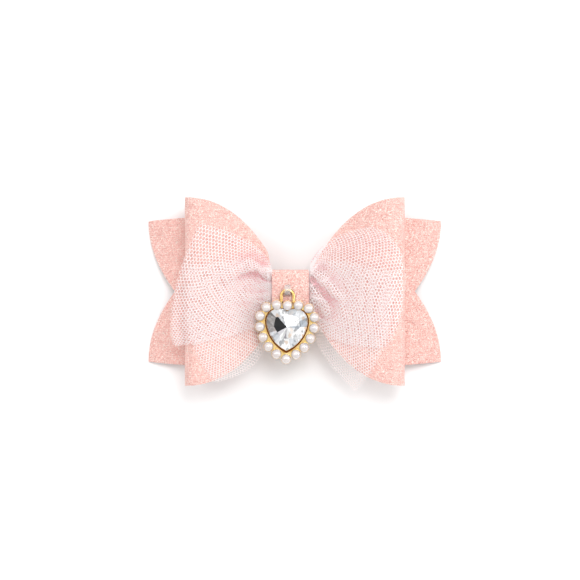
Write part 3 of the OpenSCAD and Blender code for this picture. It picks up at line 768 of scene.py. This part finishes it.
def net_layers(shaded_under_material, over_material):
    """Both layers. Places and sizes in a wing are in mm, and directions in degrees up from the side."""
    length_under, length_over = 81 * MM, 84 * MM
    steps = 150
    under = gathered(
        Wing([(-27.2, -30.2), (-34, -24), (-39.8, -9), (-38, 10.4)], (-87, 60), (-14, 5),
             pleats=4, height=1.2, phase=0.4, bulge=0.95),
        Wing([(20.5, -33.5), (27.5, -27), (34, -14), (35.5, 8)], (-85, 65), (-50, 0),
             pleats=4, height=1.2, phase=2.2, bulge=0.5),
        length_under, 11.35 * MM, lambda x, y: face_height(x, y) + LAYER_GAP, steps)
    # A ridge is its start, its finish, its width and its height.
    left_ridges = [((-24, 6), (-15.5, 9.6), 2.2, 2.4), ((-15.5, 9.6), (-8.0, 6.0), 2.0, 3.0),
                   ((-19, 5.6), (-14, 7.0), 1.3, -1.6), ((-14, 7.0), (-8.0, 2.4), 1.3, -3.2),
                   ((-15, 2.0), (-8.0, 1.4), 1.2, -2.0), ((-22, -1), (-9, -0.8), 1.6, 1.4)]
    right_ridges = [((5.5, 5.2), (13.4, -2.9), 0.9, -3.0), ((13.4, -2.9), (13.6, -7), 1.2, -2.0),
                    ((8.5, 6), (15.5, -1.5), 1.6, 2.0), ((6.0, 1.5), (11, -5), 1.3, 1.4)]
    over = gathered(
        Wing([(-41.6, -17.8), (-45, -11), (-42, 6), (-32.9, 24.4)], (-62, 85), (-8, 12),
             pleats=3, height=0.9, phase=2.2, ridges=left_ridges),
        Wing([(31.5, -18.5), (38.5, -9), (44, 19), (26.6, 23.3)], (-76, 85), (-5, 8),
             pleats=3, height=1.2, phase=0.2, ridges=right_ridges, bulge=0.25, fold_back=1.9),
        length_over, 11.95 * MM, height_map(under), steps)
    for name, points, length, node, below, material in (
            ("net_under_layer", under, length_under, "net_under", ["bow_loops"], shaded_under_material),
            ("net_over_layer", over, length_over, "net_over", ["net_under_layer", "bow_loops"],
             over_material)):
        piece, material_area = net_mesh(name, points, length)
        finish_piece(piece, material, node)


# ---------- the clip's spring ----------
def tube(name, path, radius):
    """A round wire along a path, closed at both ends."""
    sides = 12
    heading = np.gradient(path, axis=0)
    heading /= np.linalg.norm(heading, axis=1, keepdims=True)
    side = np.cross(heading[0], (0, 1, 0))
    turn = 2 * math.pi * np.arange(sides) / sides
    rings = []
    for at, ahead in zip(path, heading):
        side = side - ahead * (side @ ahead)
        side /= np.linalg.norm(side)
        up = np.cross(ahead, side)
        rings.append(at + radius * (np.cos(turn)[:, None] * side + np.sin(turn)[:, None] * up))
    k = np.arange(sides)
    last = (len(path) - 1) * sides
    faces = [(r + a, r + (a + 1) % sides, r + sides + (a + 1) % sides, r + sides + a)
             for r in range(0, last, sides) for a in k]
    return add_mesh(name, np.concatenate(rings), faces + [tuple(k[::-1]), tuple(last + k)])


def torsion_spring(material):
    """Wire wound round the pin. One leg lies under the lever, and the other lies on the jaw."""
    low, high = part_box("clip_spring")
    pin_low, pin_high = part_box("clip_pin")
    pin_x, pin_z = (pin_low.x + pin_high.x) / 2, (pin_low.z + pin_high.z) / 2
    wire_r = 0.22 * MM
    coil_r = pin_x - low.x - wire_r
    half_l = (high.y - low.y) / 2 - wire_r
    turns = 2.5
    turn = np.linspace(0, turns, 81)
    coil = np.stack([pin_x - coil_r * np.sin(2 * math.pi * turn), BOW_Y + half_l * (2 * turn / turns - 1),
                     pin_z + coil_r * np.cos(2 * math.pi * turn)], axis=1)
    under_lever = [(high.x, BOW_Y - half_l, high.z - wire_r),
                   (pin_x + 0.4 * MM, BOW_Y - half_l, pin_z + coil_r)]
    on_jaw = [(pin_x + 0.4 * MM, BOW_Y + half_l, pin_z - coil_r),
              (pin_x + 3.1 * MM, BOW_Y + half_l, pin_z - 1.33 * MM),
              (high.x, BOW_Y + half_l, low.z + wire_r)]
    path = resample(np.concatenate([under_lever, coil, on_jaw]), 0.12 * MM)
    piece = tube("torsion_spring", path, wire_r)
    piece.data.materials.append(material)
    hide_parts("clip_spring")
    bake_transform(piece)


# ---------- the scene round the bow ----------
FRAME_WIDTH = 197.95 * MM      # what the picture takes in, at the height of the bow's face
FACE_Z = 12 * MM


def camera():
    """A long lens, straight above the bow."""
    data = bpy.data.cameras.new("camera")
    data.lens, data.sensor_width = 400, 36
    data.clip_end = 20
    made = bpy.data.objects.new("camera", data)
    distance = FRAME_WIDTH / 2 / (data.sensor_width / 2 / data.lens)
    made.location = (-1.64 * MM, 1.5 * MM, FACE_Z + distance)
    bpy.context.scene.collection.objects.link(made)
    bpy.context.scene.camera = made


def softbox(name, place, size, power):
    """A round soft light that faces the bow."""
    data = bpy.data.lights.new(name, "AREA")
    data.shape, data.size, data.energy = "DISK", size, power
    made = bpy.data.objects.new(name, data)
    made.location = place
    made.rotation_euler = (-Vector(place)).to_track_quat("-Z", "Y").to_euler()
    made.visible_camera = False
    bpy.context.scene.collection.objects.link(made)


def stage():
    """A light tent with a dark ring near its top, three soft lights, and a floor that is clear from below."""
    scene = bpy.context.scene
    scene.view_settings.view_transform = "Standard"
    world = bpy.data.worlds.new("studio")
    world.use_nodes = True
    nodes, links = world.node_tree.nodes, world.node_tree.links
    height = nodes.new("ShaderNodeSeparateXYZ")
    links.new(nodes.new("ShaderNodeTexCoord").outputs["Generated"], height.inputs[0])
    tent = nodes.new("ShaderNodeValToRGB")
    links.new(height.outputs["Z"], tent.inputs["Fac"])
    set_stops(tent.color_ramp, ((0.0, 0.75), (0.5, 1.0), (0.88, 1.0), (0.93, 0.2), (1.0, 1.0)))
    links.new(tent.outputs["Color"], nodes["Background"].inputs["Color"])
    nodes["Background"].inputs["Strength"].default_value = 0.93
    scene.world = world
    softbox("key", (0.12, 0.3, 0.78), 0.4, 2.75)
    softbox("fill", (-0.5, 0.2, 0.7), 0.5, 1.0)
    softbox("side", (0.6, 0.12, 0.26), 0.3, 0.95)
    half = 3.0
    corners = [(-half, -half, 0), (half, -half, 0), (half, half, 0), (-half, half, 0)]
    floor = add_mesh("floor", corners, [(0, 1, 2, 3)])
    floor.location.z = -0.02 * MM
    s = Shader("floor_paper", Roughness=0.9, Base_Color=(0.97, 0.97, 0.97, 1))
    clear = s.node("ShaderNodeBsdfTransparent")
    back = s.node("ShaderNodeNewGeometry").outputs["Backfacing"]
    mixed = s.node("ShaderNodeMixShader", {0: back, 1: s.surface.outputs[0], 2: clear.outputs[0]})
    s.tree.links.new(mixed.outputs[0], s.tree.nodes["Material Output"].inputs["Surface"])
    floor.data.materials.append(s.material)


def dress(node, material):
    """A CAD node keeps its shape and takes a material."""
    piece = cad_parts[node]
    piece.data.materials.clear()
    piece.data.materials.append(material)


camera()
stage()
glitter = glitter_fabric()
bow_loops(glitter)
tail_sheet(glitter)
centre_band(glitter)
# Painted shade: the under layer's threads are painted a little darker and pinker than the over layer's, as
# the same net lying in shade.
net_layers(net_thread("net_thread_under_shaded", "F6E9E8", "FBF6F5"),
           net_thread("net_thread_over", "FCECED", "FFFBFB"))
gold, pearls, glue, clear = gold_plate(), pearl_coat(), hot_glue(), clear_thread()
steel, wire = clip_steel("clip_steel", "8F9297", "D5D7DA"), clip_steel("spring_steel", "6E7176", "A9ACB0")
for name in ("gather_thread", "charm_thread"):
    dress(name, clear)
for name in ("clip_glue", "loop_glue"):
    dress(name, glue)
for name in ("clip_lever", "clip_jaw", "clip_pin"):
    dress(name, steel)
torsion_spring(wire)
dress("charm_frame", gold)
dress("heart_crystal", foiled_crystal())
for name in sorted(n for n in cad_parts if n.startswith("pearl_")):
    dress(name, pearls)
